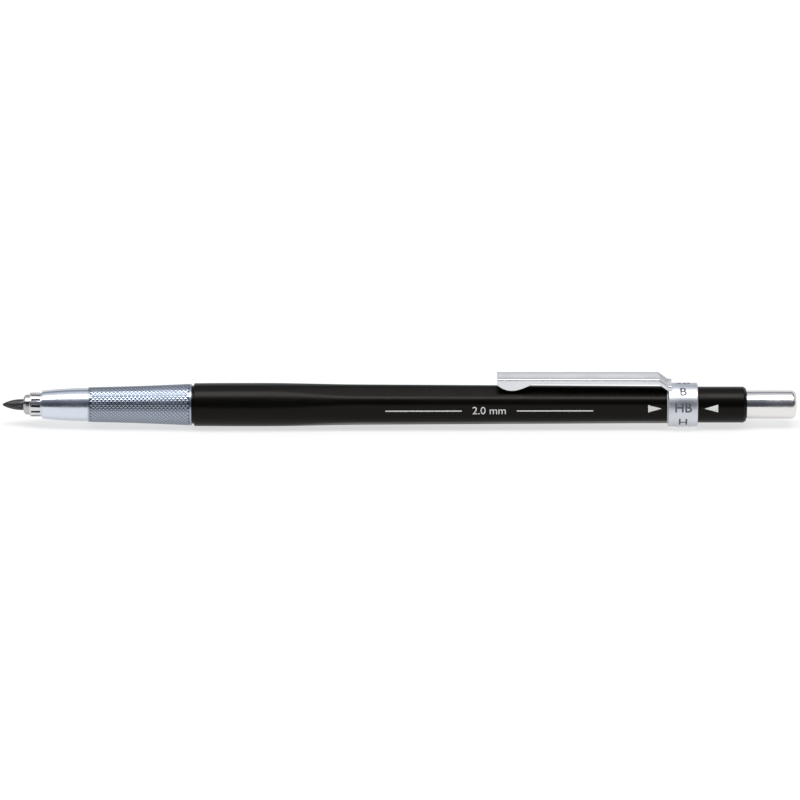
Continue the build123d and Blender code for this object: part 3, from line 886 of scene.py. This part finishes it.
white_ink = printed_ink("white_ink", (0.86, 0.86, 0.84), (0.70, 0.70, 0.68))
in_front = barrel_radius + 1.0 * mm
size_mark = flat_text("lead_size_print", "2.0 mm", size_cap, print_middle, axis_z, in_front)
rules = []
for side in (-1, 1):
    bpy.ops.object.select_all(action="DESELECT")
    bpy.ops.mesh.primitive_plane_add(size=rule_width, rotation=(pi / 2, 0, 0))
    rule = bpy.context.object
    rule.name = rule.data.name = f"print_rule_{'front' if side < 0 else 'rear'}"
    bpy.ops.object.transform_apply(location=True, rotation=True, scale=True)
    bpy.ops.object.mode_set(mode="EDIT")
    bpy.ops.transform.resize(value=(rule_length / rule_width, 1, 1), center_override=(0, 0, 0))
    bpy.ops.transform.translate(
        value=(print_middle + side * (rule_gap + rule_length / 2), -in_front, axis_z)
    )
    bpy.ops.mesh.bevel(offset=rule_width * 0.4, segments=3, affect="VERTICES")
    bpy.ops.object.mode_set(mode="OBJECT")
    rules.append(rule)
arrow_z = axis_z + flat_back * tan(radians(arrow_above))
front_arrow = arrowhead("front_arrow_print", ring_low.x - arrow_gap, arrow_z, in_front, 1)
for mark in (size_mark, *rules, front_arrow):
    cut_in_strips(mark, print_strip)
    lay_on(mark, barrel, ink_height / 2, ink_height)
    mark.data.materials.append(white_ink)
    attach(mark, "barrel")

# ---- Index washer.
# A thin nylon washer between the barrel and the grade ring, so that the ring turns freely. It is punched
# from sheet, and stays as the frame has it.
washer_nylon, tree, shader = new_material("washer_nylon")
shader.inputs["Subsurface Weight"].default_value = 0.1
shader.inputs["Subsurface Scale"].default_value = 0.2 * mm
used = use_group(tree, handling)
yellowed = mix_colours(tree, used.outputs["Haze"], (0.62, 0.61, 0.57), (0.50, 0.49, 0.45))
tree.links.new(yellowed, shader.inputs["Base Color"])
tree.links.new(spread(tree, used.outputs["Haze"], 0.0, 1.0, 0.42, 0.55), shader.inputs["Roughness"])
finish_node("index_washer", washer_nylon)

# ---- Grade ring.
# Turned aluminium with a satin face, free to turn behind the washer. Eight lead grades are cut round
# it and filled level with grey enamel.
ring_radius = (ring_high.z - ring_low.z) / 2
ring_bore = 3.05 * mm
ring_bevel, ring_rim = 0.15 * mm, 0.35 * mm
ring_face = ring_radius - 0.015 * mm
grades = ("HB", "H", "2H", "3H", "4H", "4B", "2B", "B")
grade_cap = 1.75 * mm
first_grade_above = 10.0
letter_weight = 0.03 * mm
enamel_depth, enamel_strip = 0.07 * mm, 0.22 * mm

ring = turned(
    "grade_dial_ring",
    [
        (ring_low.x, ring_bore),
        (ring_low.x, ring_radius - ring_bevel),
        (ring_low.x + ring_bevel, ring_radius),
        (ring_low.x + ring_rim, ring_radius),
        (ring_low.x + ring_rim, ring_face),
        (ring_high.x - ring_rim, ring_face),
        (ring_high.x - ring_rim, ring_radius),
        (ring_high.x - ring_bevel, ring_radius),
        (ring_high.x, ring_radius - ring_bevel),
        (ring_high.x, ring_bore),
        (ring_low.x, ring_bore),
    ],
    sides=240,
)
ring_middle = (ring_low.x + ring_high.x) / 2
in_front = ring_radius + 1.0 * mm
enamels = []
for number, grade in enumerate(grades):
    letters = flat_text(
        f"enamel_{grade}", grade, grade_cap, ring_middle, axis_z, in_front, heavier=letter_weight
    )
    cut_in_strips(letters, enamel_strip)
    lay_on(letters, ring, ink_height / 2, enamel_depth)
    bpy.ops.object.mode_set(mode="EDIT")
    bpy.ops.mesh.select_all(action="SELECT")
    bpy.ops.transform.rotate(
        value=radians(first_grade_above - 360 / len(grades) * number),
        orient_axis="X",
        center_override=(0, 0, axis_z),
    )
    bpy.ops.object.mode_set(mode="OBJECT")
    enamels.append(letters)
choose(ring)
bpy.ops.object.shade_smooth_by_angle(angle=radians(25))
ring.data.materials.append(metal("ring_metal", (0.62, 0.64, 0.68), (0.84, 0.86, 0.89), 0.36, rings=16000.0))
grey_enamel = printed_ink("grey_enamel", (0.11, 0.12, 0.14), (0.08, 0.09, 0.10))
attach(ring, "selector")
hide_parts("grade_ring")
for letters in enamels:
    letters.data.materials.append(grey_enamel)
    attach(letters, "selector")

# ---- Pocket clip.
# One strip of spring steel, blanked, folded and plated. Its long edges are turned down, two half-moon
# cheeks at the free end grip the pocket, and its leg comes down to a saddle spot-welded by the ring.
clip_low, clip_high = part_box("clip")
clip_half = (clip_high.y - clip_low.y) / 2
clip_sheet = 0.45 * mm
leg_run, leg_drop = 1.75 * mm, 1.325 * mm
saddle_run = 0.6 * mm
turned_down = 1.0 * mm
cheek_length, cheek_depth = 6.4 * mm, 1.22 * mm
cheek_lip = 0.12 * mm
cheek_steps = 16
fold_radius = 0.30 * mm
saddle_radius = ring_radius + 0.02 * mm
leg_end = clip_high.x - saddle_run
clip_bend = leg_end - leg_run


def outer_face(x):
    """Height of the strip's outer face above a place along it."""
    return clip_high.z - min(1, max(0, x - clip_bend) / leg_run) * leg_drop


def on_fold(middle):
    """Is this edge one of the two long folds, or one of the two bends across the strip?"""
    if abs(middle.y) < nearly:
        return min(abs(middle.x - clip_bend), abs(middle.x - leg_end)) < nearly
    return abs(abs(middle.y) - clip_half) < nearly and abs(middle.z - outer_face(middle.x)) < nearly


bpy.ops.object.select_all(action="DESELECT")
bpy.ops.mesh.primitive_plane_add(
    size=2 * clip_half, location=((clip_low.x + clip_bend) / 2, 0, clip_high.z)
)
clip = bpy.context.object
clip.name = clip.data.name = "pocket_clip_strip"
bpy.ops.object.transform_apply(location=True, rotation=True, scale=True)
bpy.ops.object.mode_set(mode="EDIT")
bpy.ops.transform.resize(
    value=((clip_bend - clip_low.x) / (2 * clip_half), 1, 1),
    center_override=((clip_low.x + clip_bend) / 2, 0, clip_high.z),
)
select_where(clip, lambda middle: middle.x > clip_bend - nearly, "edges")
bpy.ops.mesh.extrude_edges_move(TRANSFORM_OT_translate={"value": (leg_run, 0, -leg_drop)})
bpy.ops.mesh.extrude_edges_move(TRANSFORM_OT_translate={"value": (saddle_run, 0, 0)})
select_where(clip, lambda middle: abs(middle.y) > clip_half - nearly, "edges")
bpy.ops.mesh.extrude_edges_move(TRANSFORM_OT_translate={"value": (0, 0, -turned_down)})
for step in range(1, cheek_steps + 1):
    bpy.ops.mesh.select_all(action="SELECT")
    place = clip_low.x + cheek_length * step / cheek_steps
    bpy.ops.mesh.bisect(plane_co=(place, 0, 0), plane_no=(1, 0, 0), threshold=nearly / 10)
for step in range(cheek_steps):
    place = clip_low.x + cheek_length * step / cheek_steps
    deep = cheek_depth * sin(pi * (step / cheek_steps) ** 0.8) if step else cheek_lip
    select_where(
        clip, lambda v: abs(v.x - place) < nearly and v.z < clip_high.z - turned_down + nearly
    )
    bpy.ops.transform.translate(value=(0, 0, -deep))
bpy.ops.object.mode_set(mode="OBJECT")
choose(clip)
wall = clip.modifiers.new("sheet", "SOLIDIFY")
wall.thickness = clip_sheet
wall.offset = -1
wall.use_even_offset = True
bpy.ops.object.modifier_apply(modifier="sheet")
seat = turned("saddle_cutter", [(ring_low.x - 1 * mm, saddle_radius), (ring_high.x, saddle_radius)])
choose(clip)
seating = clip.modifiers.new("saddle", "BOOLEAN")
seating.operation = "DIFFERENCE"
seating.solver = "EXACT"
seating.object = seat
bpy.ops.object.modifier_apply(modifier="saddle")
bpy.data.objects.remove(seat)
bpy.ops.object.mode_set(mode="EDIT")
select_where(clip, on_fold, "edges")
bpy.ops.mesh.bevel(offset=fold_radius, segments=4, affect="EDGES")
bpy.ops.object.mode_set(mode="OBJECT")
soften_edges(clip, 0.05 * mm, segments=2, angle=40)
clip_metal = metal("clip_metal", (0.70, 0.71, 0.73), (0.90, 0.90, 0.91), 0.20, ring_height=0.05)
clip.data.materials.append(clip_metal)
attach(clip, "clip")
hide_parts("clip")

# ---- Rear plug.
# Black plastic like the barrel, pressed in its rear end. Its shoulder holds the grade ring, its bore
# guides the push button, and a second white arrowhead points back at the ring.
plug_low, plug_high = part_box("rear_plug")
plug_radius = (plug_high.z - plug_low.z) / 2
ring_play = 0.03 * mm
plug_shoulder = ring_high.x + ring_play
plug_neck = plug_radius - 0.3 * mm
plug_spigot = plug_neck - 0.2 * mm
plug_bore = 2.10 * mm
button_guide = 2.66 * mm
press_gap = 0.3 * mm
rear_bevel = 0.5 * mm
guide_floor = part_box("button_cap")[0].x - press_travel - press_gap

plug = turned(
    "black_rear_plug",
    [
        (plug_low.x, plug_bore),
        (plug_low.x, plug_spigot),
        (barrel_high.x, plug_spigot),
        (barrel_high.x, plug_neck),
        (plug_shoulder, plug_neck),
        (plug_shoulder, plug_radius),
        (plug_high.x - rear_bevel, plug_radius),
        (plug_high.x, plug_radius - rear_bevel * 0.7),
        (plug_high.x, button_guide),
        (guide_floor, button_guide),
        (guide_floor, plug_bore),
        (plug_low.x, plug_bore),
    ],
    sides=128,
)
soften_edges(plug, 0.08 * mm)
plug.data.materials.append(barrel_black)
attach(plug, "barrel")
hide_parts("rear_plug")
arrow_z = axis_z + plug_radius * sin(radians(arrow_above))
rear_arrow = arrowhead("rear_arrow_print", ring_high.x + arrow_gap, arrow_z, in_front, -1)
cut_in_strips(rear_arrow, print_strip)
lay_on(rear_arrow, plug, ink_height / 2, ink_height)
rear_arrow.data.materials.append(white_ink)
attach(rear_arrow, "barrel")

# ---- Button ferrule.
# A turned brass sleeve pressed on the lead tube. The push button grips it, and pulls off it. It stays as
# the frame has it.
finish_node("button_ferrule", inner_brass)

# ---- Push button.
# Drawn and chromed brass cap with a groove where it leaves the plug, a rounded shoulder and a slightly
# domed end. It is pressed to open the jaws, and pulls off to show the pointer.
cap_low, cap_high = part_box("button_cap")
cap_radius = (cap_high.y - cap_low.y) / 2
cap_bore = cap_radius - 0.35 * mm
cap_wall = 1.2 * mm
cap_round, cap_round_in = 1.2 * mm, 0.5 * mm
cap_dome = 0.3 * mm
groove_width, groove_depth = 0.6 * mm, 0.17 * mm
groove_end = plug_high.x + 0.1 * mm
round_steps = 8
round_run = cap_round - cap_dome
round_bow = (round_run ** 2 + cap_round_in ** 2) / (2 * cap_round_in)
dome_rim = cap_radius - cap_round_in
dome_bow = (dome_rim ** 2 + cap_dome ** 2) / (2 * cap_dome)

cap_outline = [
    (cap_high.x - cap_wall, 0.2 * mm),
    (cap_high.x - cap_wall, cap_bore),
    (cap_low.x, cap_bore),
    (cap_low.x, cap_radius),
    (groove_end - groove_width, cap_radius),
    (groove_end - groove_width, cap_radius - groove_depth),
    (groove_end, cap_radius - groove_depth),
    (groove_end, cap_radius),
]
for step in range(round_steps + 1):
    run = round_run * step / round_steps
    cap_outline.append(
        (cap_high.x - cap_round + run, cap_radius - round_bow + sqrt(round_bow ** 2 - run ** 2))
    )
for step in range(1, round_steps):
    radius = dome_rim * (1 - step / round_steps)
    cap_outline.append((cap_high.x - dome_bow + sqrt(dome_bow ** 2 - radius ** 2), radius))
cap = turned("chromed_push_button", cap_outline, sides=128)
soften_edges(cap, 0.04 * mm, segments=2, angle=24)
cap.data.materials.append(
    metal("button_chrome", (0.78, 0.76, 0.74), (0.95, 0.94, 0.93), 0.14, rings=15000.0, ring_height=0.08)
)
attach(cap, "cap")
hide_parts("button_cap")

# ---- Lead pointer.
# A plastic insert with a conical mouth inside the button, and three small steel blades set in it. A
# lead put in the mouth and turned comes out sharp.
pointer_plastic, tree, shader = new_material("pointer_plastic")
shader.inputs["Specular IOR Level"].default_value = 0.4
used = use_group(tree, handling, Patches=500.0)
dusty = mix_colours(tree, used.outputs["Haze"], (0.42, 0.03, 0.03), (0.22, 0.03, 0.03))
tree.links.new(dusty, shader.inputs["Base Color"])
tree.links.new(spread(tree, used.outputs["Haze"], 0.0, 1.0, 0.38, 0.6), shader.inputs["Roughness"])
finish_node("pointer_insert", pointer_plastic)
finish_node("pointer_blades", metal("blade_steel", (0.50, 0.51, 0.53), (0.9, 0.9, 0.9), 0.22))

# ---- Floor, light and camera.
# A plain white floor that glows a little, under a long soft light overhead. The sky is dim in front and
# paler overhead and behind, which gives the plated metal its dark line. The camera looks a little down.
floor_size = 8.0
bpy.ops.object.select_all(action="DESELECT")
bpy.ops.mesh.primitive_circle_add(vertices=128, radius=floor_size / 2, fill_type="NGON", location=(0, 0, 0))
floor = bpy.context.object
floor.name = floor.data.name = "studio_floor"
floor_paper, tree, shader = new_material("floor_paper")
shader.inputs["Specular IOR Level"].default_value = 0.0
shader.inputs["Roughness"].default_value = 0.9
shader.inputs["Base Color"].default_value = (0.30, 0.30, 0.30, 1)
shader.inputs["Emission Color"].default_value = (1, 1, 1, 1)
shader.inputs["Emission Strength"].default_value = 0.66
floor.data.materials.append(floor_paper)

world = bpy.data.worlds.new("studio")
bpy.context.scene.world = world
world.use_nodes = True
tree = world.node_tree
direction = tree.nodes.new("ShaderNodeTexCoord")
split = tree.nodes.new("ShaderNodeSeparateXYZ")
tree.links.new(direction.outputs["Generated"], split.inputs[0])


def sky_brightness(bands):
    """The sky's brightness by elevation, from (degrees, level) places; dim parts are a little blue."""
    ramp = tree.nodes.new("ShaderNodeValToRGB")
    tree.links.new(spread(tree, split.outputs["Z"], -1.0, 1.0, 0.0, 1.0), ramp.inputs["Fac"])
    for number, (elevation, level) in enumerate(bands):
        place = (sin(radians(elevation)) + 1) / 2
        stop = ramp.color_ramp.elements[number] if number < 2 else ramp.color_ramp.elements.new(place)
        stop.position = place
        stop.color = (level * (0.88 + 0.12 * level), level, level * (1.25 - 0.25 * level), 1)
    return ramp.outputs["Color"]


sky = tree.nodes.new("ShaderNodeMix")
sky.data_type = "RGBA"
front_sky = sky_brightness(
    ((-3, 0.60), (1, 0.15), (8, 0.07), (26, 0.07), (36, 0.12), (50, 0.22), (64, 0.32), (76, 0.55), (86, 0.90))
)
back_sky = sky_brightness(
    ((1, 0.30), (9, 0.45), (15, 1.0), (26, 1.0), (36, 0.30), (48, 0.30), (60, 0.70), (72, 0.90))
)
tree.links.new(spread(tree, split.outputs["Y"], -0.15, 0.15, 0.0, 1.0), sky.inputs["Factor"])
tree.links.new(front_sky, sky.inputs["A"])
tree.links.new(back_sky, sky.inputs["B"])
tree.links.new(sky.outputs["Result"], tree.nodes["Background"].inputs["Color"])

light_distance = 2.0
light_elevation = radians(78)
light_length, light_width = 3.2, 1.0
bpy.ops.object.light_add(
    type="AREA",
    location=(0, -light_distance * cos(light_elevation), axis_z + light_distance * sin(light_elevation)),
    rotation=(pi / 2 - light_elevation, 0, 0),
)
key = bpy.context.object
key.name = key.data.name = "overhead_softbox"
key.data.shape = "RECTANGLE"
key.data.size, key.data.size_y = light_length, light_width
key.data.energy = 50.0
key.visible_camera = False

view_elevation = radians(20)
camera_distance = 1.5
low, high = cad_box
frame_width = (high.x - low.x) * 1.007
above_axis = 0.84 * mm
bpy.ops.object.camera_add(
    location=(
        0,
        -camera_distance * cos(view_elevation) + above_axis * sin(view_elevation),
        axis_z + camera_distance * sin(view_elevation) + above_axis * cos(view_elevation),
    ),
    rotation=(pi / 2 - view_elevation, 0, 0),
)
camera = bpy.context.object
camera.name = "front_camera"
camera.data.sensor_width = 36.0
camera.data.lens = camera.data.sensor_width * camera_distance / frame_width
bpy.context.scene.camera = camera
bpy.context.scene.view_settings.view_transform = "Standard"
